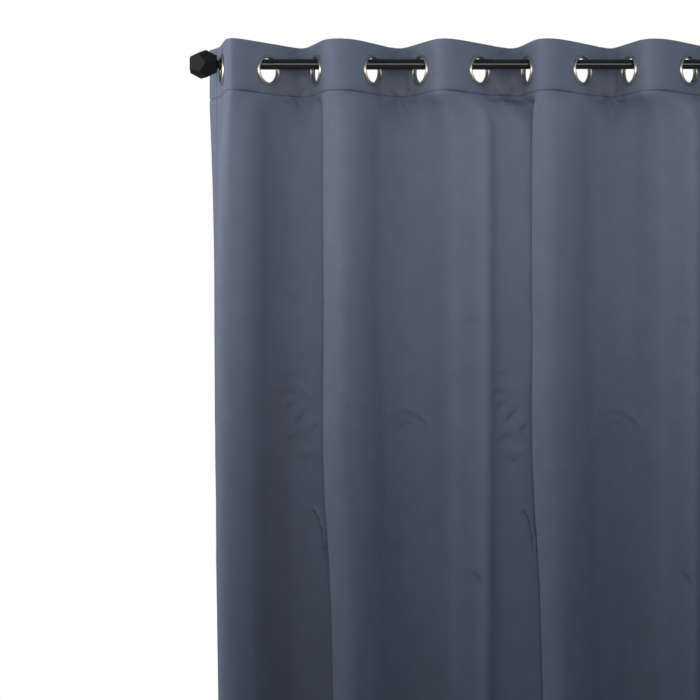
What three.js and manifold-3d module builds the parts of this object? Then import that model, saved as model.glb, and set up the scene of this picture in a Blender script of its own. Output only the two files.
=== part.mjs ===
// Eyelet curtain panel on a telescopic rod.
// Millimetres, +Z up. X runs along the rod, the front of the panel faces -Y.
// The origin is on the rod axis, half way along the rod.

import * as THREE from 'three';
import { mergeVertices } from 'three/addons/utils/BufferGeometryUtils.js';
import Module from 'manifold-3d';

// ---------------------------------------------------------------- driving dimensions
const GAP = 0.3;                 // clearance between pieces that touch

const EYELET_X = [-485.1, -410.0, -328.2, -236.3, -154.5, -57.6,
  24.2, 114.4, 194.6, 291.4, 373.2, 463.4];       // eyelet centres along the rod
const EYELET_TILT = [79, 45.6, 70, 53.8, 62.3, 45,
  75, 46, 69, 45, 62, 57];       // degrees between the cloth at each eyelet and the front plane
const EYELET_DROP = 10;          // eyelet centre below the rod axis: the ring hangs on the rod
const FLAT_PITCH = 140;          // eyelet spacing measured along the cloth
const FLAT_HALF = 27;            // cloth held flat each side of an eyelet centre
const CREST_LIMIT = 50;          // deepest cloth line in front of and behind the rod axis
const RETURN_OUT = 27;           // side edge beyond the end eyelet, along the rod
const RETURN_BACK = 70;          // side edge behind the rod axis

const HEAD_TOP = 35.2;           // top edge above the rod axis
const HEAD_BOTTOM = -49;         // stitch line under the heading
const HEM = -2250;               // bottom edge
const HEAD_THICK = 2.4;          // doubled cloth with a stiffener in it
const CLOTH_THICK = 1.6;

const RING_INNER = 20;           // eyelet bore
const RING_FLARE = 22;           // bore at the rounded mouth of each half
const RING_OUTER = 25.5;
const RING_PROUD = 3.0;          // each half stands this far off the cloth
const BARREL_OUTER = 21.4;
const CLOTH_HOLE = 21.8;
const RING_SIDES = 24;

const TUBE_OUTER = 8.8;          // outer tube radius
const TUBE_OUTER_BORE = 8.35;
const TUBE_INNER = 8.0;          // inner tube radius
const TUBE_INNER_BORE = 7.3;
const TUBE_SIDES = 32;
const ROD_HALF = 488.5;          // half the rod, tube end to tube end
const STEP_X = -34;              // where the inner tube comes out of the outer one
const OVERLAP = 250;             // inner tube inside the outer one

const PLUG_LENGTH = 22;
const PLUG_BORE = 3.3;
const STUD_RADIUS = 3.0;
const STUD_IN = 16;              // stud inside the plug
const COLLAR_RADIUS = 9.4;
const COLLAR_LENGTH = 3.4;
const NECK_RADIUS = 6.6;
const NECK_LENGTH = 2.6;
const KNOB_RADIUS = 24.8;        // circumscribed radius of the twelve-sided knob
const KNOB_STRETCH = 1.14;       // drawn out along the rod
const KNOB_TURN = 18;            // degrees about the rod from a face pointing straight down

// ---------------------------------------------------------------- materials
const matte = (color, roughness, metalness = 0) =>
  new THREE.MeshStandardMaterial({ color, roughness, metalness });
const cloth = () => matte(0x5c6477, 0.95);
const pewter = () => matte(0xa8a39b, 0.35, 0.9);
const black = () => matte(0x16171a, 0.4, 0.3);
const steel = () => matte(0x8c8c90, 0.4, 0.8);

const wasm = await Module();
wasm.setup();

const panel = new THREE.Group();
panel.name = 'curtain';

function add(name, geometry, material, parent = panel) {
  const mesh = new THREE.Mesh(geometry, material);
  mesh.name = name;
  parent.add(mesh);
  return mesh;
}

// ---------------------------------------------------------------- solids
function toSolid(geometry, matrix) {
  let g = geometry.clone();
  if (matrix) g.applyMatrix4(matrix);
  for (const key of Object.keys(g.attributes)) if (key !== 'position') g.deleteAttribute(key);
  g = mergeVertices(g, 1e-4);
  return new wasm.Manifold(new wasm.Mesh({
    numProp: 3,
    vertProperties: new Float32Array(g.attributes.position.array),
    triVerts: new Uint32Array(g.index.array),
  }));
}

function toGeometry(solid) {
  const m = solid.getMesh();
  const g = new THREE.BufferGeometry();
  g.setAttribute('position', new THREE.BufferAttribute(new Float32Array(m.vertProperties), 3));
  g.setIndex(new THREE.BufferAttribute(new Uint32Array(m.triVerts), 1));
  g.computeVertexNormals();
  return g;
}

// Closed profile [radius, along] turned about +Z; the profile runs so that faces point out.
function turned(profile, sides) {
  let area = 0;
  for (let i = 0; i < profile.length; i++) {
    const [r0, z0] = profile[i];
    const [r1, z1] = profile[(i + 1) % profile.length];
    area += r0 * z1 - r1 * z0;
  }
  const pts = (area > 0 ? profile : profile.slice().reverse()).map(([r, z]) => new THREE.Vector2(r, z));
  if (profile.every(([r]) => r > 0)) pts.push(pts[0].clone());
  return new THREE.LatheGeometry(pts, sides).rotateX(Math.PI / 2);
}

const AXIS_TO_X = new THREE.Matrix4().makeRotationY(Math.PI / 2);   // +Z becomes +X

// ---------------------------------------------------------------- the fold line of the cloth
const COUNT = EYELET_X.length;
const rad = (d) => (d * Math.PI) / 180;
// Odd eyelets carry the cloth from behind the rod to the front, even ones take it back.
const towards = (i) => {
  const a = rad(EYELET_TILT[i]);
  return new THREE.Vector2(Math.cos(a), (i % 2 === 0 ? -1 : 1) * Math.sin(a));
};
const centre = (i) => new THREE.Vector2(EYELET_X[i], 0);
const foldX = (k) => 0.5 * (EYELET_X[k] + EYELET_X[k + 1]);   // fold k lies between eyelets k and k+1

// The cloth between eyelets k and k+1, as [x, y] points; the handles are as long as the spare cloth asks for.
function foldCurve(k) {
  const p0 = centre(k).addScaledVector(towards(k), FLAT_HALF);
  const p3 = centre(k + 1).addScaledVector(towards(k + 1), -FLAT_HALF);
  const make = (h) => new THREE.CubicBezierCurve(
    p0, p0.clone().addScaledVector(towards(k), h),
    p3.clone().addScaledVector(towards(k + 1), -h), p3);
  let lo = 5, hi = 90;
  for (let n = 0; n < 40; n++) {
    const h = 0.5 * (lo + hi);
    const c = make(h);
    const deep = Math.max(...c.getPoints(40).map((p) => Math.abs(p.y)));
    if (c.getLength() + 2 * FLAT_HALF > FLAT_PITCH || deep > CREST_LIMIT) hi = h; else lo = h;
  }
  return make(lo);
}

// Half of a fold, cut at the fold's own X so that two strips meet there.
function halfFold(k, first, steps = 5) {
  const curve = foldCurve(k);
  let lo = 0, hi = 1;
  for (let n = 0; n < 50; n++) {
    const t = 0.5 * (lo + hi);
    if (curve.getPoint(t).x < foldX(k)) lo = t; else hi = t;
  }
  const [from, to] = first ? [0, lo] : [lo, 1];
  const pts = [];
  for (let n = 0; n <= steps; n++) pts.push(curve.getPoint(from + ((to - from) * n) / steps));
  return pts;
}

function endReturn(i) {
  const side = i === 0 ? -1 : 1;
  const p0 = centre(i).addScaledVector(towards(i), side * FLAT_HALF);
  const p2 = new THREE.Vector2(EYELET_X[i] + side * RETURN_OUT, RETURN_BACK);
  const p1 = p0.clone().addScaledVector(towards(i), side * 20);
  const pts = new THREE.QuadraticBezierCurve(p0, p1, p2).getPoints(4);
  return side < 0 ? pts.reverse() : pts;
}

// The line of the strip that hangs from eyelet i, from one fold to the next.
function stripLine(i) {
  const before = i === 0 ? endReturn(0) : halfFold(i - 1, false);
  const after = i === COUNT - 1 ? endReturn(i) : halfFold(i, true);
  return [...before, ...after];
}

// The strip's section: the line given a thickness, its cut ends square to the rod.
function stripShape(i, thick) {
  const line = stripLine(i);
  const n = line.length;
  const front = [], back = [];
  line.forEach((p, j) => {
    const d = line[Math.min(j + 1, n - 1)].clone().sub(line[Math.max(j - 1, 0)]).normalize();
    const cutLeft = j === 0 && i > 0;
    const cutRight = j === n - 1 && i < COUNT - 1;
    const q = p.clone();
    let nx = -d.y, ny = d.x;
    if (cutLeft) { q.x += GAP / 2 + 0.02; nx = 0; ny = 1; }
    if (cutRight) { q.x -= GAP / 2 + 0.02; nx = 0; ny = 1; }
    front.push(new THREE.Vector2(q.x - nx * thick / 2, q.y - ny * thick / 2));
    back.push(new THREE.Vector2(q.x + nx * thick / 2, q.y + ny * thick / 2));
  });
  return new THREE.Shape([...front, ...back.reverse()]);
}

function strip(i, thick, z0, z1) {
  const g = new THREE.ExtrudeGeometry(stripShape(i, thick), { depth: z1 - z0, bevelEnabled: false, steps: 1 });
  g.translate(0, 0, z0);
  return g;
}

// ---------------------------------------------------------------- eyelets
// Both halves are turned about the eyelet's own axis; the front half carries the barrel.
const half = HEAD_THICK / 2 + GAP;
function frontHalf() {
  return turned([
    [RING_INNER, -half - 0.5],
    [RING_FLARE - 0.4, -half - RING_PROUD * 0.93],
    [RING_FLARE + 0.9, -half - RING_PROUD],
    [RING_OUTER, -half - 0.9],
    [RING_OUTER, -half],
    [BARREL_OUTER, -half],
    [BARREL_OUTER, half - GAP - 0.1],
    [RING_INNER, half - GAP - 0.1],
  ], RING_SIDES);
}
function backHalf() {
  return turned([
    [RING_INNER, half],
    [RING_OUTER, half],
    [RING_OUTER, half + 0.9],
    [RING_FLARE + 0.9, half + RING_PROUD],
    [RING_FLARE - 0.4, half + RING_PROUD * 0.93],
    [RING_INNER, half + 0.5],
  ], RING_SIDES);
}
// +Z of the turned pieces becomes the cloth's back normal at eyelet i.
function eyeletMatrix(i) {
  const d = towards(i);
  const back = new THREE.Vector3(-d.y, d.x, 0);          // out of the back of the cloth
  const along = new THREE.Vector3(d.x, d.y, 0);
  const up = new THREE.Vector3(0, 0, 1);
  const m = new THREE.Matrix4().makeBasis(along, up.clone().negate(), back);
  if (m.determinant() < 0) m.makeBasis(along, up, back);
  return m.setPosition(EYELET_X[i], 0, -EYELET_DROP);
}

// ---------------------------------------------------------------- the panel
const punch = new THREE.CylinderGeometry(CLOTH_HOLE, CLOTH_HOLE, 24, RING_SIDES).rotateX(Math.PI / 2);
for (let i = 0; i < COUNT; i++) {
  const id = String(i + 1).padStart(2, '0');
  const m = eyeletMatrix(i);

  const heading = toSolid(strip(i, HEAD_THICK, HEAD_BOTTOM, HEAD_TOP)).subtract(toSolid(punch, m));
  add(`heading_${id}`, toGeometry(heading), cloth());
  add(`drape_${id}`, strip(i, CLOTH_THICK, HEM, HEAD_BOTTOM - GAP), cloth());

  const ring = new THREE.Group();
  ring.applyMatrix4(m);
  panel.add(ring);
  add(`eyelet_front_${id}`, frontHalf(), pewter(), ring);
  add(`eyelet_back_${id}`, backHalf(), pewter(), ring);
}

// ---------------------------------------------------------------- the rod
function tube(outer, bore, x0, x1) {
  const g = turned([[bore, x0], [outer, x0], [outer, x1], [bore, x1]], TUBE_SIDES);
  return g.applyMatrix4(AXIS_TO_X);
}
add('rod_outer_tube', tube(TUBE_OUTER, TUBE_OUTER_BORE, -ROD_HALF, STEP_X), black());
add('rod_inner_tube', tube(TUBE_INNER, TUBE_INNER_BORE, STEP_X - OVERLAP, ROD_HALF), black());

// ---------------------------------------------------------------- end plugs and finials
// A knob with one face square to the rod; of the next five, two meet in an edge at the front.
function knobGeometry(side) {
  const g = new THREE.DodecahedronGeometry(KNOB_RADIUS, 0);
  // two neighbouring face normals give the frame of the solid
  const phi = (1 + Math.sqrt(5)) / 2;
  const a = new THREE.Vector3(1, 0, phi).normalize();
  const b = new THREE.Vector3(-1, 0, phi).normalize();
  const y0 = new THREE.Vector3().crossVectors(a, b).normalize();
  const z0 = new THREE.Vector3().crossVectors(a, y0);
  const from = new THREE.Matrix4().makeBasis(a, y0, z0).transpose();
  // a goes to the rod side, b to the part pointing down before the turn
  const x1 = new THREE.Vector3(side, 0, 0);
  const b1 = new THREE.Vector3(side * a.dot(b), 0, -Math.sqrt(1 - a.dot(b) ** 2));
  const y1 = new THREE.Vector3().crossVectors(x1, b1).normalize();
  const z1 = new THREE.Vector3().crossVectors(x1, y1);
  const to = new THREE.Matrix4().makeBasis(x1, y1, z1);
  g.applyMatrix4(from).applyMatrix4(to);
  g.rotateX(THREE.MathUtils.degToRad(KNOB_TURN));
  return g.scale(KNOB_STRETCH, 1, 1);
}

const KNOB_FACE = KNOB_RADIUS * 0.79465 * KNOB_STRETCH;      // centre of the knob to its end faces
for (const [name, end] of [['left', -1], ['right', 1]]) {
  const bore = end < 0 ? TUBE_OUTER_BORE : TUBE_INNER_BORE;
  const x0 = end * ROD_HALF;
  const along = (r0, r1, a, b) => (r0 > 0
    ? turned([[r0, a], [r1, a], [r1, b], [r0, b]], TUBE_SIDES)
    : turned([[0, a], [r1, a], [r1, b], [0, b]], TUBE_SIDES)).applyMatrix4(AXIS_TO_X);

  // the plug sits in the tube end, flush with it
  const plugOuter = bore * Math.cos(Math.PI / TUBE_SIDES) - GAP;
  const pa = Math.min(x0, x0 - end * PLUG_LENGTH), pb = Math.max(x0, x0 - end * PLUG_LENGTH);
  add(`end_plug_${name}`, along(PLUG_BORE, plugOuter, pa, pb), steel());

  // the collar bears on the tube end
  const c0 = x0 + end * GAP, c1 = c0 + end * COLLAR_LENGTH;
  add(`finial_collar_${name}`, along(PLUG_BORE, COLLAR_RADIUS, Math.min(c0, c1), Math.max(c0, c1)), black());

  // knob and neck in one piece, bored for the stud
  const n0 = c1 + end * GAP, n1 = n0 + end * NECK_LENGTH;
  const knobX = n1 + end * KNOB_FACE;
  const knob = toSolid(knobGeometry(-end), new THREE.Matrix4().makeTranslation(knobX, 0, 0));
  const neckEnd = n1 + end * 2;
  const neck = toSolid(along(0, NECK_RADIUS, Math.min(n0, neckEnd), Math.max(n0, neckEnd)));
  const borA = n0 - end * 1, borB = knobX;
  const bore2 = toSolid(along(0, PLUG_BORE, Math.min(borA, borB), Math.max(borA, borB)));
  add(`finial_knob_${name}`, toGeometry(knob.add(neck).subtract(bore2)), black());

  // the stud runs from the plug through the collar into the knob
  const s0 = x0 - end * STUD_IN, s1 = knobX - end * 1;
  add(`finial_stud_${name}`, along(0, STUD_RADIUS, Math.min(s0, s1), Math.max(s0, s1)), steel());
}

export default panel;
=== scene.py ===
import math

import bmesh
import bpy
import numpy as np
from mathutils import Matrix, Vector


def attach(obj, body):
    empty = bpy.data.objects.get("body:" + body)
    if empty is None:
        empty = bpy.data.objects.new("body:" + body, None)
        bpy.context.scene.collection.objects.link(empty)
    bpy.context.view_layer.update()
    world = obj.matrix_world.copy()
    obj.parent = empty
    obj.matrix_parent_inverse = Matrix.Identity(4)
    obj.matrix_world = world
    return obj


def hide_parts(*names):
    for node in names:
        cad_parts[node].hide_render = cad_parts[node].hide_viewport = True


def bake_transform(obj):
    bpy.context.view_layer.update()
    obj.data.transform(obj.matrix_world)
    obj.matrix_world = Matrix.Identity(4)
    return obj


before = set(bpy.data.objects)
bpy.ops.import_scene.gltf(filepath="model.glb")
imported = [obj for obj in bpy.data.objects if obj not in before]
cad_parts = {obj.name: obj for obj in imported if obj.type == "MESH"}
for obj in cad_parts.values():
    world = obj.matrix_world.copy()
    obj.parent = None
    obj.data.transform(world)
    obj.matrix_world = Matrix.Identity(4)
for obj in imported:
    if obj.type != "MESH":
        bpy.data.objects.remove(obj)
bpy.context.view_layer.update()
scene = bpy.context.scene
rng = np.random.default_rng(7)

# ------------------------------------------------------------------ sizes (metres)
MM = 0.001
EX = np.array([-485.1, -410.0, -328.2, -236.3, -154.5, -57.6,
               24.2, 114.4, 194.6, 291.4, 373.2, 463.4])
TILT = np.radians([79, 45.6, 70, 53.8, 62.3, 45, 75, 46, 69, 45, 62, 57])
N = len(EX)
DROP_EYE = 10.0
PITCH = 140.0
FLAT_HALF = 27.0
CREST = 50.0
RET_OUT, RET_BACK = 27.0, 70.0
Z_TOP = 35.2
Z_STITCH = -49.0
Z_HEM = -2250.0
ROD_HALF = 488.5
STEP_X = -34.0
SIDES = np.array([(1 if i % 2 else -1) for i in range(N)])
DIR = np.stack([np.cos(TILT), SIDES * np.sin(TILT)], 1)

PX0, PXS = 513.5, 1.67           # rod plane grid used for the fold lines
CAM_X, CAM_D = 350.0, 3000.0


def wx(p, y):
    """Grid column p at depth y (mm) to X in mm."""
    return (CAM_X + (p - CAM_X) * (1 + y / CAM_D) - PX0) * PXS


# ------------------------------------------------------------------ camera
cam_data = bpy.data.cameras.new("camera")
cam_data.sensor_width = 36.0
cam_data.lens = 92.36
cam = bpy.data.objects.new("camera", cam_data)
scene.collection.objects.link(cam)
cam.location = ((CAM_X - PX0) * PXS * MM, -3.0, -0.4771)
cam.rotation_euler = (math.pi / 2, 0, 0)
scene.camera = cam
cam_data.dof.use_dof = False
scene.view_settings.view_transform = "Standard"
scene.view_settings.look = "None"


# ------------------------------------------------------------------ curves of the cloth, seen from above
def bezier(p0, p1, p2, p3, n=80):
    t = np.linspace(0, 1, n + 1)[:, None]
    return ((1 - t) ** 3) * p0 + 3 * ((1 - t) ** 2) * t * p1 + 3 * (1 - t) * t * t * p2 + t ** 3 * p3


def length(p):
    return float(np.linalg.norm(np.diff(p, axis=0), axis=1).sum())


def resample(p, n):
    d = np.concatenate([[0], np.cumsum(np.linalg.norm(np.diff(p, axis=0), axis=1))])
    t = np.linspace(0, d[-1], n)
    return np.stack([np.interp(t, d, p[:, 0]), np.interp(t, d, p[:, 1])], 1)


def centre(i):
    return np.array([EX[i], 0.0])


def fold(k):
    p0 = centre(k) + DIR[k] * FLAT_HALF
    p3 = centre(k + 1) - DIR[k + 1] * FLAT_HALF
    lo, hi = 5.0, 90.0
    f, g = (0.8, 1.45) if k in (4, 8) else (1.0, 1.0)
    for _ in range(40):
        h = 0.5 * (lo + hi)
        c = bezier(p0, p0 + DIR[k] * h * f, p3 - DIR[k + 1] * h * g, p3)
        if length(c) + 2 * FLAT_HALF > PITCH or np.abs(c[:, 1]).max() > CREST:
            hi = h
        else:
            lo = h
    return bezier(p0, p0 + DIR[k] * lo * f, p3 - DIR[k + 1] * lo * g, p3)


def end_curve(i):
    side = -1 if i == 0 else 1
    p0 = centre(i) + DIR[i] * side * FLAT_HALF
    p2 = np.array([EX[i] + side * RET_OUT, RET_BACK])
    p1 = p0 + DIR[i] * side * 20
    t = np.linspace(0, 1, 41)[:, None]
    c = (1 - t) ** 2 * p0 + 2 * (1 - t) * t * p1 + t * t * p2
    c = np.concatenate([centre(i)[None], c])
    return c[::-1] if side < 0 else c


# a curve for each stretch of cloth: left end, eleven folds, right end
def header_parts():
    parts = [end_curve(0)]
    for k in range(N - 1):
        parts.append(np.concatenate([centre(k)[None], fold(k), centre(k + 1)[None]]))
    parts.append(end_curve(N - 1))
    return parts


HEAD_PARTS = header_parts()
S_LEN = [length(p) for p in HEAD_PARTS]            # flat length of each stretch
S_AT = np.concatenate([[0], np.cumsum(S_LEN)])     # S_AT[i+1] is eyelet i
FLAT_W = S_AT[-1]


def spline(points, per=14):
    """Centripetal Catmull-Rom through the points."""
    p = np.array(points, float)
    p = np.concatenate([[2 * p[0] - p[1]], p, [2 * p[-1] - p[-2]]])
    out = []
    for i in range(1, len(p) - 2):
        a, b, c, d = p[i - 1], p[i], p[i + 1], p[i + 2]
        t0 = 0.0
        t1 = t0 + max(np.linalg.norm(b - a), 1e-6) ** 0.5
        t2 = t1 + max(np.linalg.norm(c - b), 1e-6) ** 0.5
        t3 = t2 + max(np.linalg.norm(d - c), 1e-6) ** 0.5
        t = np.linspace(t1, t2, per, endpoint=False)[:, None]
        a1 = (t1 - t) / (t1 - t0) * a + (t - t0) / (t1 - t0) * b
        a2 = (t2 - t) / (t2 - t1) * b + (t - t1) / (t2 - t1) * c
        a3 = (t3 - t) / (t3 - t2) * c + (t - t2) / (t3 - t2) * d
        b1 = (t2 - t) / (t2 - t0) * a1 + (t - t0) / (t2 - t0) * a2
        b2 = (t3 - t) / (t3 - t1) * a2 + (t - t1) / (t3 - t1) * a3
        out.append((t2 - t) / (t2 - t1) * b1 + (t - t1) / (t2 - t1) * b2)
    out.append(p[-2][None])
    return np.concatenate(out)


def drape_parts(xl, xc, xd, xb0, xb1, dark, deep=1.0, seed=0):
    """The fold line at one height: left side xl, the sharp left side xc of the narrow fold, its right side xd,
    and the two sides xb0, xb1 of the broad fold, as grid columns of the first repeat."""
    P = 209.5
    pts, marks = [], []

    def put(x, y, mark=False):
        y *= deep
        pts.append((wx(x, y), y))
        if mark:
            marks.append(len(pts) - 1)

    # left end and the first fold
    put(xl - 0.5, 70); put(xl + 0.6, 50); put(xl + 0.6, 24); put(xl + 0.8, 0, True)
    put(xl + 1.0, -18); put(xl + 2.0, -33); put(xl + 4.6, -42.5); put(xl + 10, -47.5)
    put(xl + 18, -49); put(xl + 27, -46.5); put(xl + 36, -37.5); put(dark - 5, -22); put(dark + 2.5, -1, True)
    put(dark + 9.5, 11); put(dark + 18, 19); put(dark + 28, 22)
    for r in range(3):
        o = r * P
        # the floor comes forward and tucks in behind the narrow fold's sharp side
        if r:
            put(xb1 - P + o + 10, -22.5); put(xb1 - P + o + 17, -22)
            put(xc + o - 17, -22.5); put(xc + o - 8.5, -25); put(xc + o, -27.5); put(xc + o + 8, -24.5); put(xc + o + 17, -21); put(xc + o + 22, -20)
            put(xc + o + 24.5, -23, True)
            put(xc + o + 21, -26.5)
            put(xc + o + 9, -30); put(xc + o + 2.6, -32.5)
        else:
            put(xc + o - 18, 11); put(xc + o - 9, -3); put(xc + o - 1, -15); put(xc + o + 6, -15.5); put(xc + o + 10.5, -14.5)
            put(xc + o + 12, -18.5, True)
            put(xc + o + 7.5, -22.5); put(xc + o + 2.4, -26.5)
        put(xc + o + 0.3, -34.5); put(xc + o + 2, -40); put(xc + o + 6.5, -45)
        put(xc + o + 14, -50); put(xc + o + 23, -51.5); put(xd + o - 19, -44); put(xd + o - 8, -27)
        put(xd + o - 0.5, -6, True)
        if r == 2:
            put(xd + o + 6, 16); put(xd + o + 11, 42); put(xd + o + 15, 70)
            break
        put(xd + o + 5, 4.5); put(xd + o + 13, 11.5); put(xd + o + 25, 14.5); put(xb0 + o - 18, 13.5); put(xb0 + o - 8, 8)
        put(xb0 + o + 0.5, -1.5, True)
        put(xb0 + o + 9, -13.5); put(xb0 + o + 17.5, -23.5); put(xb0 + o + 26, -29); put(xb0 + o + 37, -30.5)
        put(xb1 + o - 14, -32); put(xb1 + o - 6, -36); put(xb1 + o - 2.2, -35.5); put(xb1 + o + 0.2, -31)
        put(xb1 + o + 3.4, -25, True)
    per = 14
    curve = spline(pts, per)
    cuts = [0] + [m * per for m in marks] + [len(curve) - 1]
    return [curve[cuts[i]:cuts[i + 1] + 1] for i in range(len(cuts) - 1)]


LEVELS = [  # z, then the fold sides
    (-377, drape_parts(215.0, 323.0, 376.0, 431, 492.0, 264)),
    (-728, drape_parts(216.6, 325.0, 381.0, 433, 492.0, 265)),
    (-828, drape_parts(217.3, 329.2, 382.4, 432.6, 491.8, 265.5)),
    (-1062, drape_parts(219.5, 333.6, 387.0, 431, 491.0, 267)),
    (-1600, drape_parts(221.5, 336.0, 391.0, 431, 490.0, 270, 1.02)),
    (Z_HEM, drape_parts(221.0, 334.0, 390.0, 434, 493.0, 272, 1.04)),
]
M = 400                                             # samples per stretch
HEAD = np.stack([resample(p, M) for p in HEAD_PARTS])           # stretch, sample, xy
LOW = np.stack([np.stack([resample(p, M) for p in parts]) for _, parts in LEVELS])
LOW_Z = np.array([z for z, _ in LEVELS], float)
print("stretch lengths head", [round(x) for x in S_LEN])
for z, parts in LEVELS:
    print("stretch lengths", z, [round(length(p)) for p in parts])


LEFT_END = np.zeros((N + 1, M))
LEFT_END[0] = 1.0
LEFT_END[1] = np.clip(1.25 - 1.6 * np.linspace(0, 1, M), 0, 1)
FLOOR = np.zeros((N + 1, M))
SETTLE = np.full((N + 1, 1), 70.0)
EASE = np.full((N + 1, 1), 14.0)
SETTLE[[6, 10]] = 26.0
EASE[[6, 10]] = 26.0
for k in range(2, N, 2):
    FLOOR[k] = np.sin(np.pi * np.clip(np.linspace(-0.12, 1.12, M), 0, 1)) ** 0.8


def hermite(z, zs, vals):
    """Smooth interpolation of vals (levels first) at heights z, zs falling."""
    out = np.empty((len(z),) + vals.shape[1:])
    slopes = np.gradient(vals, zs, axis=0)
    for n, zz in enumerate(z):
        i = int(np.clip(np.searchsorted(-zs, -zz) - 1, 0, len(zs) - 2))
        h = zs[i + 1] - zs[i]
        t = float(np.clip((zz - zs[i]) / h, 0, 1))
        out[n] = ((2 * t ** 3 - 3 * t ** 2 + 1) * vals[i] + (t ** 3 - 2 * t ** 2 + t) * h * slopes[i]
                  + (-2 * t ** 3 + 3 * t ** 2) * vals[i + 1] + (t ** 3 - t ** 2) * h * slopes[i + 1])
    return out


def heading_line(zrow):
    """The heading's line; its floors ease forward a little towards the stitching."""
    t = np.clip((-14 - zrow) / 39.0, 0, 1)
    ease = EASE * t * t * (3 - 2 * t) * FLOOR ** 2.5
    return HEAD - np.stack([np.zeros_like(ease), ease], -1)


def line_at(zrow):
    """Every stretch's line at height zrow: stretch, sample, xy."""
    low = hermite([min(zrow, LOW_Z[0])], LOW_Z, LOW)[0]
    if zrow >= Z_STITCH - 4:
        return heading_line(zrow)
    d = Z_STITCH - 4 - zrow
    fast = (1 - math.exp(-d / 22.0)) * (1 - math.exp(-d / 9.0))
    t = min(d / (Z_STITCH - 4 - LOW_Z[0]), 1.0)
    slow = (1 - (1 - t) ** 1.6) * (1 - math.exp(-d / 30.0))
    fast = fast + (1 - fast) * t
    floor = (1 - np.exp(-d / SETTLE)) * (1 - math.exp(-d / 16.0))
    floor = floor + (1 - floor) * t
    w = fast + (floor - fast) * FLOOR            # the floors between the folds come forward more slowly
    w = w + (slow - w) * LEFT_END                # the side of the curtain keeps the heading's shape longest
    w = w[..., None]
    return heading_line(Z_STITCH - 4) * (1 - w) + low * w


# ------------------------------------------------------------------ the cloth's grid
CELL = 4.5
side_cols = np.arange(0, 9) * CELL
rows_eye = -DROP_EYE - np.arange(-8, 9) * CELL       # 26 .. -46
rows = [Z_TOP, 34.4, 32.8, 30.0] + list(rows_eye) + [-49.0, -51.5, -54, -57, -60.5, -64.5, -69, -74, -80, -87]
z = rows[-1]
step = 8.0
while z - step > Z_HEM + 6:
    z -= step
    rows.append(z)
    step = 5.0 if -960 < z < -470 else min(step * 1.05, 12.0)   # closer where the small creases are
rows += [Z_HEM + 1.2, Z_HEM]
rows = np.array(rows)

FLAT_V = Z_TOP - rows                                # flat coordinate down the cloth


def stretch_cols(i):
    """Flat positions (mm, from the stretch's start) of the columns of stretch i."""
    L = S_LEN[i]
    if i == 0:
        far = np.linspace(0, L - side_cols[-1], 12)
        return np.concatenate([far, (L - side_cols[::-1])[1:]])
    if i == N:
        far = np.linspace(side_cols[-1], L, 12)
        return np.concatenate([side_cols[:-1], far])
    mid = np.linspace(side_cols[-1], L - side_cols[-1], 22)
    return np.concatenate([side_cols[:-1], mid, (L - side_cols[::-1])[1:]])


def smooth_noise(s, v, cells, seed):
    """Smooth value noise on flat coordinates, mean 0, about -1..1; cells are its wavelengths in mm."""
    g = np.random.default_rng(seed).uniform(-1, 1, (260, 260))
    a, b = s / cells[0] + 7.3, v / cells[1] + 5.1
    i, j = np.floor(a).astype(int), np.floor(b).astype(int)
    fa, fb = a - i, b - j
    fa, fb = fa * fa * (3 - 2 * fa), fb * fb * (3 - 2 * fb)
    i, j = i % 259, j % 259
    return (g[i, j] * (1 - fa) * (1 - fb) + g[i + 1, j] * fa * (1 - fb)
            + g[i, j + 1] * (1 - fa) * fb + g[i + 1, j + 1] * fa * fb)


LINES = {}


def surface(stretch, s, v):
    """Row-frame points (mm) of flat positions: s along the stretch, v below the top edge."""
    zz = Z_TOP - v
    out = np.empty(s.shape + (3,))
    for key in np.unique(np.round(zz, 3)):
        sel = np.abs(zz - key) < 6e-4
        if key not in LINES:
            LINES[key] = line_at(key)
        line = LINES[key][stretch]
        t = s[sel] / S_LEN[stretch] * (M - 1)
        out[sel, 0] = np.interp(t, np.arange(M), line[:, 0])
        out[sel, 1] = np.interp(t, np.arange(M), line[:, 1])
        out[sel, 2] = key
    return out


def ogrid(s, zrel):
    """Opens the square grid round an eyelet into a round hole."""
    c = np.maximum(np.abs(s), np.abs(zrel))
    r = np.hypot(s, zrel)
    a, c0, r0 = 8 * CELL, 4 * CELL, 22.6
    t = np.clip((c - c0) / (a - c0), 0, 1)
    with np.errstate(divide="ignore", invalid="ignore"):
        ux, uz = np.where(r > 0, s / r, 0), np.where(r > 0, zrel / r, 0)
        ox, oz = np.where(c > 0, s * a / c, 0), np.where(c > 0, zrel * a / c, 0)
    ns, nz = r0 * ux * (1 - t) + ox * t, r0 * uz * (1 - t) + oz * t
    use = (c <= a + 1e-6) & (c >= c0 - 1e-6)
    return np.where(use, ns, s), np.where(use, nz, zrel)


def relief(S, V):
    """How far the cloth stands off its smooth line (mm), from flat positions S, V of the whole cloth."""
    zz = Z_TOP - V
    low = np.clip((Z_STITCH - zz) / 60.0, 0, 1)
    d = 0.9 * smooth_noise(S, V, (55, 420), 3) * low
    d += 0.45 * smooth_noise(S, V, (24, 130), 4) * low
    d += 0.20 * smooth_noise(S, V, (14, 30), 5) * (0.35 + 0.65 * low)
    # stitch line: a shallow groove
    d -= 0.9 * np.exp(-((zz - Z_STITCH) / 1.7) ** 2)
    return d


def view_cols(Q):
    """Grid column and row at which the camera sees the points Q (mm)."""
    k = 1 + Q[..., 1] / CAM_D
    px = CAM_X + (Q[..., 0] / PXS + PX0 - CAM_X) / k
    pz = 350.0 + (64.3 - Q[..., 2] / PXS - 350.0) / k
    return px, pz


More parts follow.
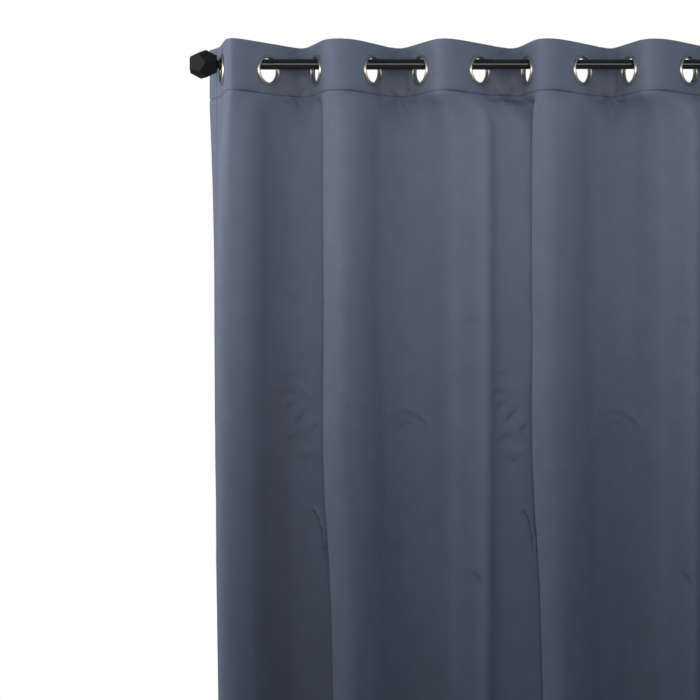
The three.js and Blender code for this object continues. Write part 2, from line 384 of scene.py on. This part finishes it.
def stroke(px, pz, pts, width, repeat=(0, 1)):
    """Soft line through pts on the view grid: 1 on it, falling off over width; and how far right of it."""
    out = np.zeros(px.shape)
    right = np.zeros(px.shape)
    for r in repeat:
        q = np.array(pts, float) + (r * 209.5, 0)
        lo, hi = q.min(0) - 4 * width, q.max(0) + 4 * width
        box = (px > lo[0]) & (px < hi[0]) & (pz > lo[1]) & (pz < hi[1])
        if not box.any():
            continue
        x, y = px[box], pz[box]
        best = np.full(x.shape, 1e9)
        side = np.zeros(x.shape)
        end = np.zeros(x.shape)
        for i in range(len(q) - 1):
            d = q[i + 1] - q[i]
            t = np.clip(((x - q[i, 0]) * d[0] + (y - q[i, 1]) * d[1]) / (d @ d), 0, 1)
            ex, ey = x - q[i, 0] - t * d[0], y - q[i, 1] - t * d[1]
            e = np.hypot(ex, ey)
            use = e < best
            best = np.where(use, e, best)
            side = np.where(use, ex, side)
        # fade towards both ends
        total = np.linalg.norm(q[-1] - q[0])
        near = np.minimum(np.hypot(x - q[0, 0], y - q[0, 1]), np.hypot(x - q[-1, 0], y - q[-1, 1]))
        fade = np.clip(near / (0.22 * total + 1e-6), 0.25, 1)
        val = np.exp(-(best / width) ** 2) * fade
        cur = out[box]
        out[box] = np.maximum(cur, val)
        right[box] = np.where(val > cur, side, right[box])
    return out, right


def creases(Q, S, V):
    """Relief (mm) and a 0..1 mask of painted shade along the creases seen in the cloth, for points Q with flat
    positions S, V.
    """
    px, pz = view_cols(Q)
    back_part = (Q[..., 1] > -30).astype(float)     # the floors between the folds
    front_part = (Q[..., 1] < -12).astype(float)
    d = np.zeros(px.shape)
    m = np.zeros(px.shape)

    # each stroke sinks the cloth by depth and adds painted shade (mask) that darkens the colour along it
    def add(pts, width, depth, mask, where, repeat=(0, 1)):
        nonlocal d, m
        g, _ = stroke(px, pz, pts, width, repeat)
        d -= depth * g * where
        m = np.maximum(m, mask * g * where)

    # the small fold that starts half way down and runs into the narrow fold's sharp side
    line = [(306, 516), (310, 511.5), (314.5, 511), (318.5, 516), (321.5, 526), (324, 540), (325.5, 556)]
    for r, rise in ((0, 4.4), (1, 1.9)):
        g, side = stroke(px, pz, line, 2.6, (r,))
        d += np.where(side > 0, rise, -1.4) * g * back_part
        m = np.maximum(m, 0.75 * np.where(side > 0.3, 0, 1) * g ** 2 * back_part)
    # drag lines above it
    for width, depth, mask, pts in (
            (3.0, 1.9, 0.30, [(281, 397), (288, 392), (297, 394)]), (2.1, 2.2, 0.42, [(295, 425), (301, 417), (309, 408)]),
            (3.0, -1.8, 0.0, [(300, 385), (307, 391), (311, 399)]), (3.0, -2.0, 0.0, [(305, 418), (310, 427), (312, 440)]),
            (2.0, 1.6, 0.35, [(310, 434), (314, 428), (319, 424)]), (3.0, 1.5, 0.28, [(288, 441), (296, 436), (304, 438)]),
            (2.8, -1.5, 0.0, [(301, 448), (309, 452), (316, 450)]), (2.3, 1.3, 0.30, [(297, 458), (305, 461), (312, 457)]),
            (2.2, 1.5, 0.30, [(286, 411), (291, 404), (298, 401)]), (2.4, 1.0, 0.22, [(283, 380), (291, 374), (300, 374)])):
        add(pts, width, depth, mask, back_part)
    # arcs across the broad fold's left side
    add([(380, 424), (388, 414), (397, 409), (407, 408), (418, 413), (426, 420), (435, 434)], 2.6, -1.0, 0.0, 1.0)
    add([(402, 413), (410, 414), (419, 418), (428, 426)], 1.9, 0.9, 0.22, 1.0)
    add([(398, 430), (405, 424), (413, 424)], 2.0, 1.2, 0.25, 1.0)
    add([(466, 317), (474, 322), (482, 319)], 2.0, 1.2, 0.25, front_part)
    add([(470, 566), (477, 572), (483, 582)], 2.0, -1.2, 0.0, front_part)
    add([(472, 571), (478, 577), (484, 588)], 2.0, 1.5, 0.35, front_part)
    # pressed lines down the heading
    add([(408, 47), (407.5, 70), (407.5, 94)], 1.2, 1.3, 0.36, 1.0)
    add([(386, 72), (386, 96)], 1.4, 0.7, 0.22, 1.0)
    add([(309, 68), (308.5, 95)], 1.4, 0.8, 0.25, 1.0, (0,))
    add([(518, 68), (518, 95)], 1.4, 0.6, 0.18, 1.0, (0,))
    # puckers where the heading's stitching crosses the floors, with painted shade in them
    for c in (297.5, 402.5, 507.0, 612.0, 716.5):
        k = 1.0 if c in (402.5, 612.0) else 0.8
        for pts in ([(c - 13, 91), (c - 7, 95), (c - 2, 97)], [(c + 1, 97), (c + 5, 92), (c + 7, 86)],
                    [(c - 11, 99), (c - 4, 99.5), (c + 3, 98.5)], [(c - 2, 99), (c, 103), (c + 1, 107)],
                    [(c + 3, 100), (c + 8, 101.5), (c + 14, 101)], [(c - 14, 102), (c - 8, 102.5), (c - 4, 104)]):
            add(pts, 1.5, 1.2 * k, 0.62 * k, 1.0, (0,))
        for pts in ([(c - 16, 49), (c - 11, 47), (c - 6, 47)], [(c - 3, 52), (c + 1, 50), (c + 4, 50.5)],
                    [(c - 9, 55), (c - 5, 53), (c - 2, 54)]):
            add(pts, 1.5, 0.9 * k, 0.22 * k, 1.0, (0,))
    # the heading's lower fold is deeper in places, with painted shade along it
    for c in (247, 352, 456, 561, 665):
        add([(c - 10, 90.6), (c, 90.2), (c + 14, 93)], 1.5, 0.9, 0.6, 1.0, (0,))
    return d, m


# columns and their flat positions for the whole cloth, then one grid of points for each side
def build_grid():
    cols, owner = [], []
    for i in range(N + 1):
        c = stretch_cols(i)
        for j, v in enumerate(c):
            if j == len(c) - 1 and i < N:
                continue                      # the next stretch starts with it
            cols.append((i, v))
        owner.append(len(cols))
    return cols, owner


cols, ends = build_grid()
starts = [0] + ends[:-1]
NC, NR = len(cols), len(rows)
S = np.zeros((NR, NC)); V = np.zeros((NR, NC)); ST = np.zeros(NC, int)
for j, (i, v) in enumerate(cols):
    S[:, j] = S_AT[i] + v
    ST[j] = i
V[:] = FLAT_V[:, None]
hole = np.zeros((NR, NC), bool)
v_eye = Z_TOP + DROP_EYE
for e in range(N):
    ds, dz = S - S_AT[e + 1], -(V - v_eye)
    c = np.maximum(np.abs(ds), np.abs(dz))
    near = c <= 8 * CELL + 1e-6
    ns, nz = ogrid(ds, dz)
    S = np.where(near, S_AT[e + 1] + ns, S)
    V = np.where(near, v_eye - nz, V)
    hole |= c < 4 * CELL - 1e-3
P = np.zeros((NR, NC, 3))
for j in range(NC):
    st = ST[j]
    loc = S[:, j] - S_AT[st]
    before = loc < -1e-6
    P[:, j] = surface(st, np.maximum(loc, 0), V[:, j])
    if before.any() and st > 0:
        P[before, j] = surface(st - 1, S[before, j] - S_AT[st - 1], V[before, j])


def grid_normals(Q):
    du = np.gradient(Q, axis=1)
    dv = np.gradient(Q, axis=0)
    n = np.cross(du, dv)
    ln = np.linalg.norm(n, axis=2, keepdims=True)
    n = n / np.maximum(ln, 1e-9)
    return n


nrm = grid_normals(P)
if nrm[NR // 2, NC // 2, 1] > 0:
    nrm = -nrm                                 # out of the front face
crease, CREASE_SHADE = creases(P, S, V)
P = P + nrm * (relief(S, V) + crease)[..., None]
nrm = grid_normals(P)
if nrm[NR // 2, NC // 2, 1] > 0:
    nrm = -nrm
ZZ = P[..., 2]
thick = np.where(ZZ > Z_STITCH, 2.2, 1.2)
thick = np.where(ZZ < Z_HEM + 92, 1.9, thick)
edge = np.minimum(S, FLAT_W - S)
thick = np.where((edge < 26) & (ZZ <= Z_STITCH), 1.9, thick)
FRONT = P + nrm * (thick / 2)[..., None]
BACK = P - nrm * (thick / 2)[..., None]


# ------------------------------------------------------------------ materials
def new_mat(name):
    m = bpy.data.materials.new(name)
    m.use_nodes = True
    nt = m.node_tree
    return m, nt, nt.nodes["Principled BSDF"]


def node(nt, kind, **props):
    n = nt.nodes.new(kind)
    for k, v in props.items():
        setattr(n, k, v)
    return n


def math_node(nt, op, a, b=None, c=None):
    n = node(nt, "ShaderNodeMath", operation=op)
    for i, v in enumerate((a, b, c)):
        if v is None:
            continue
        if isinstance(v, (int, float)):
            n.inputs[i].default_value = v
        else:
            nt.links.new(v, n.inputs[i])
    return n.outputs[0]


CLOTH = (0.106, 0.128, 0.176)


def cloth_material(name="slate_blackout_cloth"):
    m, nt, b = new_mat(name)
    uv = node(nt, "ShaderNodeUVMap", uv_map="flat")
    sep = node(nt, "ShaderNodeSeparateXYZ")
    nt.links.new(uv.outputs[0], sep.inputs[0])
    s, v = sep.outputs[0], sep.outputs[1]

    def noise(scale, detail=2.0, rough=0.5, stretch=None):
        src = uv.outputs[0]
        if stretch:
            mp = node(nt, "ShaderNodeMapping")
            mp.inputs["Scale"].default_value = stretch
            nt.links.new(src, mp.inputs[0])
            src = mp.outputs[0]
        n = node(nt, "ShaderNodeTexNoise")
        n.inputs["Scale"].default_value = scale
        n.inputs["Detail"].default_value = detail
        n.inputs["Roughness"].default_value = rough
        nt.links.new(src, n.inputs["Vector"])
        return n.outputs["Fac"]

    # weave: weft and warp threads, about 0.6 mm apart
    k = 2 * math.pi / 0.0006
    warp = math_node(nt, "SINE", math_node(nt, "MULTIPLY", s, k))
    weft = math_node(nt, "SINE", math_node(nt, "MULTIPLY", v, k))
    weave = math_node(nt, "MULTIPLY", warp, weft)
    slub = noise(60, 2, 0.6, (1, 14, 1))
    slub2 = noise(60, 2, 0.6, (14, 1, 1))
    nap = noise(900, 2, 0.6)
    cloud = noise(28, 3, 0.55)
    broad = noise(5, 2, 0.5)
    # colour: base with clouding, slubs and nap
    def centred(x, amount):
        return math_node(nt, "MULTIPLY", math_node(nt, "SUBTRACT", x, 0.5), amount)
    total = math_node(nt, "ADD", centred(cloud, 0.20), centred(broad, 0.15))
    total = math_node(nt, "ADD", total, centred(slub, 0.10))
    total = math_node(nt, "ADD", total, centred(slub2, 0.10))
    total = math_node(nt, "ADD", total, centred(nap, 0.22))
    total = math_node(nt, "ADD", total, math_node(nt, "MULTIPLY", weave, 0.05))
    # thread line of the stitching: heading, bottom hem and side hems
    def stitch(pos, along, at):
        d = math_node(nt, "ABSOLUTE", math_node(nt, "SUBTRACT", pos, at))
        band = math_node(nt, "LESS_THAN", d, 0.0011)
        ph = math_node(nt, "FRACT", math_node(nt, "MULTIPLY", along, 1 / 0.0042))
        dash = math_node(nt, "LESS_THAN", ph, 0.72)
        return band, math_node(nt, "MULTIPLY", band, dash)
    lines = [stitch(v, s, (Z_TOP - Z_STITCH) * MM), stitch(v, s, (Z_TOP - Z_HEM - 90) * MM),
             stitch(s, v, 0.024), stitch(s, v, FLAT_W * MM - 0.024)]
    band, thread = lines[0]
    for bb, tt in lines[1:]:
        band = math_node(nt, "MAXIMUM", band, bb)
        thread = math_node(nt, "MAXIMUM", thread, tt)
    # painted shade: a dark band along each stitch line stands for the shade in its groove; the lighter dashes are the
    # thread
    total = math_node(nt, "ADD", total, math_node(nt, "MULTIPLY", band, -0.55))
    total = math_node(nt, "ADD", total, math_node(nt, "MULTIPLY", thread, 0.26))
    # painted shade: the mesh's crease mask darkens the colour along creases, puckers and the heading's fold
    crease_shade = node(nt, "ShaderNodeAttribute", attribute_name="crease")
    total = math_node(nt, "ADD", total, math_node(nt, "MULTIPLY", crease_shade.outputs["Fac"], -0.46))
    gain = math_node(nt, "ADD", total, 1.0)
    mix = node(nt, "ShaderNodeVectorMath", operation="SCALE")
    mix.inputs[0].default_value = CLOTH
    nt.links.new(gain, mix.inputs["Scale"])
    nt.links.new(mix.outputs[0], b.inputs["Base Color"])
    # relief: weave and nap, stitches stand a little proud
    h = math_node(nt, "MULTIPLY", weave, 0.00004)
    h = math_node(nt, "ADD", h, math_node(nt, "MULTIPLY", nap, 0.00018))
    h = math_node(nt, "ADD", h, math_node(nt, "MULTIPLY", slub, 0.00012))
    h = math_node(nt, "ADD", h, math_node(nt, "MULTIPLY", cloud, 0.0006))
    h = math_node(nt, "ADD", h, math_node(nt, "MULTIPLY", thread, 0.0003))
    bump = node(nt, "ShaderNodeBump")
    bump.inputs["Strength"].default_value = 0.7
    bump.inputs["Distance"].default_value = 1.0
    nt.links.new(h, bump.inputs["Height"])
    nt.links.new(bump.outputs[0], b.inputs["Normal"])
    b.inputs["Roughness"].default_value = 0.9
    b.inputs["Specular IOR Level"].default_value = 0.18
    b.inputs["Sheen Weight"].default_value = 0.12
    b.inputs["Sheen Roughness"].default_value = 0.45
    b.inputs["Sheen Tint"].default_value = (0.75, 0.8, 0.9, 1)
    return m


MAT_CLOTH = cloth_material()


def metal_material(name, base, rough, spread=0.12, metallic=1.0, scale=900.0, coat=0.0, spec=0.5):
    m, nt, b = new_mat(name)
    co = node(nt, "ShaderNodeTexCoord")
    n = node(nt, "ShaderNodeTexNoise")
    n.inputs["Scale"].default_value = scale
    n.inputs["Detail"].default_value = 3
    nt.links.new(co.outputs["Object"], n.inputs["Vector"])
    n2 = node(nt, "ShaderNodeTexNoise")
    n2.inputs["Scale"].default_value = 60
    n2.inputs["Detail"].default_value = 2
    nt.links.new(co.outputs["Object"], n2.inputs["Vector"])
    r = math_node(nt, "ADD", math_node(nt, "MULTIPLY", math_node(nt, "SUBTRACT", n.outputs["Fac"], 0.5), spread), rough)
    r = math_node(nt, "ADD", r, math_node(nt, "MULTIPLY", math_node(nt, "SUBTRACT", n2.outputs["Fac"], 0.5), spread))
    nt.links.new(r, b.inputs["Roughness"])
    mix = node(nt, "ShaderNodeVectorMath", operation="SCALE")
    mix.inputs[0].default_value = base
    nt.links.new(math_node(nt, "ADD", math_node(nt, "MULTIPLY", n2.outputs["Fac"], 0.24), 0.88), mix.inputs["Scale"])
    nt.links.new(mix.outputs[0], b.inputs["Base Color"])
    bump = node(nt, "ShaderNodeBump")
    bump.inputs["Strength"].default_value = 0.25
    bump.inputs["Distance"].default_value = 0.0001
    nt.links.new(n.outputs["Fac"], bump.inputs["Height"])
    nt.links.new(bump.outputs[0], b.inputs["Normal"])
    b.inputs["Metallic"].default_value = metallic
    b.inputs["Coat Weight"].default_value = coat
    b.inputs["Specular IOR Level"].default_value = spec
    return m


MAT_RING = metal_material("satin_pewter", (0.56, 0.52, 0.45), 0.36)
MAT_ROD = metal_material("gloss_black_paint", (0.007, 0.007, 0.008), 0.13, 0.05, 0.0, 1400)
MAT_KNOB = metal_material("black_knob_paint", (0.012, 0.0125, 0.013), 0.34, 0.1, 0.0, 900, 0.0, 0.05)
MAT_STEEL = metal_material("zinc_plated", (0.45, 0.45, 0.47), 0.4)


# ------------------------------------------------------------------ mesh helpers
def mesh_object(name, verts, faces, mat, smooth=True):
    me = bpy.data.meshes.new(name)
    me.from_pydata([tuple(v) for v in verts], [], [tuple(f) for f in faces])
    me.validate()
    me.update()
    ob = bpy.data.objects.new(name, me)
    scene.collection.objects.link(ob)
    ob.data.materials.append(mat)
    if smooth:
        for p in me.polygons:
            p.use_smooth = True
    return ob


def cloth_strip(name, j0, j1):
    """Columns j0..j1 of the cloth, front and back, closed where the cloth has an edge."""
    nc = j1 - j0 + 1
    gone = hole[:, j0:j1 + 1]
    F, B, NN = FRONT[:, j0:j1 + 1], BACK[:, j0:j1 + 1], nrm[:, j0:j1 + 1]
    idx = -np.ones((2, NR, nc), int)
    verts, norms, uvs, marks = [], [], [], []
    for side, arr, sg in ((0, F, 1), (1, B, -1)):
        for r in range(NR):
            for c in range(nc):
                if gone[r, c]:
                    continue
                idx[side, r, c] = len(verts)
                verts.append(arr[r, c] * MM)
                norms.append(NN[r, c] * sg)
                uvs.append((S[r, j0 + c] * MM, V[r, j0 + c] * MM))
                marks.append(CREASE_SHADE[r, j0 + c])
    faces = []
    quad_ok = np.zeros((NR - 1, nc - 1), bool)
    for r in range(NR - 1):
        for c in range(nc - 1):
            q = (idx[0, r, c], idx[0, r, c + 1], idx[0, r + 1, c + 1], idx[0, r + 1, c])
            if min(q) < 0:
                continue
            j = j0 + c
            inside = False
            # the square ring of cells just inside the hole's edge has four corners kept but is open
            zr = 0.5 * (rows[r] + rows[r + 1]) + DROP_EYE
            for e in range(N):
                if abs(0.5 * (GRID_S[j] + GRID_S[j + 1]) - S_AT[e + 1]) < 4 * CELL and abs(zr) < 4 * CELL:
                    inside = True
            if inside:
                continue
            quad_ok[r, c] = True
            faces.append((q[0], q[3], q[2], q[1]))
            w = (idx[1, r, c], idx[1, r, c + 1], idx[1, r + 1, c + 1], idx[1, r + 1, c])
            faces.append(w)
    # edges: where a kept cell has no kept neighbour
    def rim(a, b):
        faces.append((idx[0][a], idx[0][b], idx[1][b], idx[1][a]))
    for r in range(NR - 1):
        for c in range(nc - 1):
            if not quad_ok[r, c]:
                continue
            if r == 0 or not quad_ok[r - 1, c]:
                rim((r, c), (r, c + 1))
            if r == NR - 2 or not quad_ok[r + 1, c]:
                rim((r + 1, c + 1), (r + 1, c))
            if c == 0 or not quad_ok[r, c - 1]:
                rim((r + 1, c), (r, c))
            if c == nc - 2 or not quad_ok[r, c + 1]:
                rim((r, c + 1), (r + 1, c + 1))
    ob = mesh_object(name, verts, faces, MAT_CLOTH)
    me = ob.data
    layer = me.uv_layers.new(name="flat")
    loops = np.zeros(len(me.loops), int)
    me.loops.foreach_get("vertex_index", loops)
    layer.data.foreach_set("uv", np.array(uvs)[loops].ravel())
    # the painted crease shade goes to the material as a point attribute
    att = me.attributes.new("crease", "FLOAT", "POINT")
    att.data.foreach_set("value", np.array(marks, np.float32))
    me.normals_split_custom_set_from_vertices([tuple(n) for n in norms])
    return ob


GRID_S = np.array([S_AT[i] + v for i, v in cols])
bodies = [f"cloth_{i + 1:02d}" for i in range(N)]
strips = []
for i in range(N + 1):
    j0 = starts[i]
    j1 = starts[i + 1] if i < N else NC - 1
    strips.append(cloth_strip(f"cloth_strip_{i:02d}", j0, j1))
    print("strip", i, j0, j1, len(strips[-1].data.polygons))


# ------------------------------------------------------------------ eyelets
def revolve(name, profile, mat, sides=96, closed=True):
    """profile of (radius, along) turned about the local Z axis, mm."""
    verts, faces = [], []
    n = len(profile)
    for a in range(sides):
        t = 2 * math.pi * a / sides
        for r, zz in profile:
            verts.append((r * math.cos(t) * MM, r * math.sin(t) * MM, zz * MM))
    for a in range(sides):
        b = (a + 1) % sides
        for i in range(n if closed else n - 1):
            j = (i + 1) % n
            faces.append((a * n + i, b * n + i, b * n + j, a * n + j))
    ob = mesh_object(name, verts, faces, mat)
    bm = bmesh.new()
    bm.from_mesh(ob.data)
    bmesh.ops.recalc_face_normals(bm, faces=bm.faces)
    bm.to_mesh(ob.data)
    bm.free()
    return ob


def arc(cx, cy, r, a0, a1, n):
    return [(cx + r * math.cos(math.radians(a0 + (a1 - a0) * i / n)), cy + r * math.sin(math.radians(a0 + (a1 - a0) * i / n))) for i in range(n + 1)]


def ring_profile(front):
    sg = -1 if front else 1
    h = 1.5
    # rounded flange: flat on the cloth, domed outside, turning into the bore
    p = [(25.3, h)] + arc(24.9, h + 0.55, 0.55, -10, 60, 4)
    p += arc(22.85, h + 0.35, 2.75, 25, 165, 14)[1:]
    p += [(20.15, h - 0.4), (20.0, 0.2)]
    p += [(21.2, 0.2), (21.2, h)]
    return [(r, sg * zz) for r, zz in p]


def eyelet_matrix(i):
    d = Vector((DIR[i][0], DIR[i][1], 0))
    back = Vector((-d.y, d.x, 0))
    m = Matrix((
        (d.x, 0, back.x, EX[i] * MM),
        (d.y, 0, back.y, 0),
        (0, -1, 0, -DROP_EYE * MM),
        (0, 0, 0, 1)))
    m = Matrix(((d.x, 0.0, back.x, EX[i] * MM), (d.y, 0.0, back.y, 0.0), (0.0, -1.0, 0.0, -DROP_EYE * MM), (0, 0, 0, 1)))
    return m


rings = []
for i in range(N):
    for front in (True, False):
        nm = "front" if front else "back"
        ob = revolve(f"eyelet_{nm}_ring_{i + 1:02d}", ring_profile(front), MAT_RING)
        ob.data.transform(eyelet_matrix(i))
        bm = bmesh.new(); bm.from_mesh(ob.data)
        bmesh.ops.recalc_face_normals(bm, faces=bm.faces)
        bm.to_mesh(ob.data); bm.free()
        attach(ob, bodies[i])
        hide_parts(f"eyelet_{nm}_{i + 1:02d}")
        rings.append(ob)


# ------------------------------------------------------------------ rod and finials
def turned_x(name, profile, mat, sides=96):
    """profile of (x, radius) turned about the X axis, mm; open at the axis ends is closed by the profile itself."""
    ob = revolve(name, [(r, x) for x, r in profile], mat, sides)
    ob.data.transform(Matrix.Rotation(math.pi / 2, 4, "Y"))
    bm = bmesh.new(); bm.from_mesh(ob.data)
    bmesh.ops.remove_doubles(bm, verts=bm.verts, dist=1e-6)
    bmesh.ops.recalc_face_normals(bm, faces=bm.faces)
    bm.to_mesh(ob.data); bm.free()
    return ob


def sharp(ob, angle=35):
    bm = bmesh.new(); bm.from_mesh(ob.data)
    for e in bm.edges:
        if len(e.link_faces) == 2 and e.calc_face_angle() > math.radians(angle):
            e.smooth = False
    bm.to_mesh(ob.data); bm.free()


outer = turned_x("rod_outer", [
    (-ROD_HALF, 8.4), (-ROD_HALF, 8.6), (-ROD_HALF + 0.2, 8.8), (STEP_X - 3.0, 8.8), (STEP_X - 1.2, 8.75), (STEP_X - 0.3, 8.6), (STEP_X, 8.35),
    (STEP_X, 8.1), (STEP_X - 3, 8.35), (-ROD_HALF + 1, 8.4)], MAT_ROD)
inner = turned_x("rod_inner", [
    (STEP_X - 250, 7.3), (STEP_X - 250, 8.0), (ROD_HALF - 0.2, 8.0), (ROD_HALF, 7.8), (ROD_HALF, 7.3)], MAT_ROD)
for ob, nd, body in ((outer, "rod_outer_tube", "rod"), (inner, "rod_inner_tube", "rod_slider")):
    sharp(ob)
    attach(ob, body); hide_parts(nd)


def dodecahedron(radius):
    p = (1 + 5 ** 0.5) / 2
    v = [(x, y, zz) for x in (-1, 1) for y in (-1, 1) for zz in (-1, 1)]
    for a in (-1, 1):
        for c in (-1, 1):
            v += [(0, a / p, c * p), (a / p, c * p, 0), (a * p, 0, c / p)]
    return [Vector(q).normalized() * radius for q in v]


def knob(name, side, cx):
    """side is +1 when the rod lies towards +X."""
    p = (1 + 5 ** 0.5) / 2
    a, b = Vector((1, 0, p)).normalized(), Vector((-1, 0, p)).normalized()
    y0 = a.cross(b).normalized(); z0 = a.cross(y0)
    src = Matrix((a, y0, z0))                       # rows: world to local
    x1 = Vector((side, 0, 0)); d = a.dot(b)
    b1 = Vector((side * d, 0, -math.sqrt(1 - d * d)))
    y1 = x1.cross(b1).normalized(); z1 = x1.cross(y1)
    dst = Matrix((x1, y1, z1)).transposed()
    rot = dst @ src
    bm = bmesh.new()
    turn = Matrix.Rotation(math.radians(18), 3, "X")
    for q in dodecahedron(24.8):
        w = turn @ (rot @ q)
        bm.verts.new(((w.x * 1.14 + cx) * MM, w.y * MM, w.z * MM))
    bmesh.ops.convex_hull(bm, input=bm.verts)
    bmesh.ops.dissolve_limit(bm, angle_limit=math.radians(2), verts=bm.verts, edges=bm.edges)
    bmesh.ops.bevel(bm, geom=list(bm.edges), offset=0.9 * MM, segments=3, profile=0.6, affect="EDGES")
    bmesh.ops.recalc_face_normals(bm, faces=bm.faces)
    me = bpy.data.meshes.new(name)
    bm.to_mesh(me); bm.free()
    ob = bpy.data.objects.new(name, me)
    scene.collection.objects.link(ob)
    ob.data.materials.append(MAT_KNOB)
    for f in me.polygons:
        f.use_smooth = f.area < 60e-6
    return ob


def knob_x(end):
    return end * (ROD_HALF + 0.3 + 3.4 + 0.3 + 2.6 + 24.8 * 0.79465 * 1.14)


for name, end, body_k, body_c in (("left", -1, "knob_left", "collar_left"), ("right", 1, "knob_right", "collar_right")):
    kb = knob(f"knob_{name}_faceted", -end, knob_x(end))
    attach(kb, body_k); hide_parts(f"finial_knob_{name}")
    x = end * (ROD_HALF + 0.3)
    neck = turned_x(f"knob_{name}_neck", [
        (x + end * 3.7, 3.3), (x + end * 3.7, 6.3), (x + end * 4.0, 6.6), (x + end * 4.9, 6.2), (x + end * 5.7, 6.6), (x + end * 6.6, 8.2),
        (x + end * 7.2, 8.2), (x + end * 7.2, 3.3)], MAT_KNOB)
    sharp(neck)
    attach(neck, body_k)
    col = turned_x(f"collar_{name}_ring", [
        (x, 3.3), (x, 8.9), (x + end * 0.5, 9.4), (x + end * 2.6, 9.4), (x + end * 3.2, 9.0), (x + end * 3.4, 8.4), (x + end * 3.4, 3.3)], MAT_KNOB)
    sharp(col)
    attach(col, body_c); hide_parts(f"finial_collar_{name}")
    for nd in (f"end_plug_{name}", f"finial_stud_{name}"):
        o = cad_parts[nd]
        o.data.materials.clear()
        o.data.materials.append(MAT_STEEL)

# ------------------------------------------------------------------ cloth rides: the end strips ride the end eyelets, the others stay fixed
for i, ob in enumerate(strips):
    if i == 0:
        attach(ob, bodies[0])
    elif i == N:
        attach(ob, bodies[-1])
    else:
        a, b = i - 1, i
        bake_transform(ob)
    if i < N:
        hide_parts(f"heading_{i + 1:02d}", f"drape_{i + 1:02d}")

# ------------------------------------------------------------------ floor, light
floor_me = bpy.data.meshes.new("floor")
floor_me.from_pydata([(-3.5, -3.5, -2.31), (3.5, -3.5, -2.31), (3.5, 3.0, -2.31), (-3.5, 3.0, -2.31)], [], [(0, 1, 2, 3)])
floor = bpy.data.objects.new("floor", floor_me)
scene.collection.objects.link(floor)
mf, nt, b = new_mat("pale_floor")
n = node(nt, "ShaderNodeTexNoise")
n.inputs["Scale"].default_value = 3
rmp = node(nt, "ShaderNodeMapRange")
rmp.inputs["To Min"].default_value = 0.78
rmp.inputs["To Max"].default_value = 0.84
nt.links.new(n.outputs["Fac"], rmp.inputs["Value"])
warm = node(nt, "ShaderNodeVectorMath", operation="SCALE")
warm.inputs[0].default_value = (1.16, 1.0, 0.88)
nt.links.new(rmp.outputs[0], warm.inputs["Scale"])
nt.links.new(warm.outputs[0], b.inputs["Base Color"])
b.inputs["Roughness"].default_value = 0.8
floor.data.materials.append(mf)


def area(name, loc, target, size, energy, color, size_y=None):
    d = bpy.data.lights.new(name, "AREA")
    d.shape = "RECTANGLE"
    d.size = size
    d.size_y = size_y or size
    d.energy = energy
    d.color = color
    o = bpy.data.objects.new(name, d)
    scene.collection.objects.link(o)
    o.location = loc
    o.rotation_euler = (Vector(target) - Vector(loc)).to_track_quat("-Z", "Y").to_euler()
    o.visible_camera = False
    return o


area("key_strip", (-0.30, -0.80, -0.08), (-0.30, 0, -0.09), 2.1, 6.6, (1.0, 0.91, 0.82), 0.30)
area("rod_glint", (-0.15, -0.95, 0.145), (-0.15, 0, 0.0), 3.2, 2.6, (1.0, 0.97, 0.94), 0.03)
area("left_soft", (-1.4, -0.8, 0.02), (-0.3, 0, -0.12), 0.6, 5.2, (1.0, 0.96, 0.92), 0.35)
area("right_soft", (1.3, -0.85, 0.0), (0.0, 0, -0.1), 0.8, 2.6, (0.96, 0.97, 1.0), 0.4)
area("left_rim", (-1.9, -0.15, -0.05), (-0.5, 0, -0.2), 0.4, 18.0, (1.0, 0.97, 0.92), 0.9)
top = area("top_soft", (-0.2, -0.13, 0.45), (-0.2, 0.02, 0.0), 2.2, 3.4, (1.0, 0.95, 0.90), 0.08)
top.visible_glossy = False
area("back_fill", (0.6, 2.6, 0.4), (0, 0, -1.0), 2.5, 18, (0.95, 0.98, 1.0), 2.0)

world = bpy.data.worlds.new("studio")
scene.world = world
world.use_nodes = True
wn = world.node_tree
wn.nodes.clear()
out = wn.nodes.new("ShaderNodeOutputWorld")
mixs = wn.nodes.new("ShaderNodeMixShader")
lp = wn.nodes.new("ShaderNodeLightPath")
amb = wn.nodes.new("ShaderNodeBackground")
amb.inputs[0].default_value = (0.60, 0.90, 1.24, 1)
amb.inputs[1].default_value = 0.178
white = wn.nodes.new("ShaderNodeBackground")
white.inputs[0].default_value = (1, 1, 1, 1)
white.inputs[1].default_value = 1.0
wn.links.new(lp.outputs["Is Camera Ray"], mixs.inputs[0])
wn.links.new(amb.outputs[0], mixs.inputs[1])
wn.links.new(white.outputs[0], mixs.inputs[2])
wn.links.new(mixs.outputs[0], out.inputs[0])
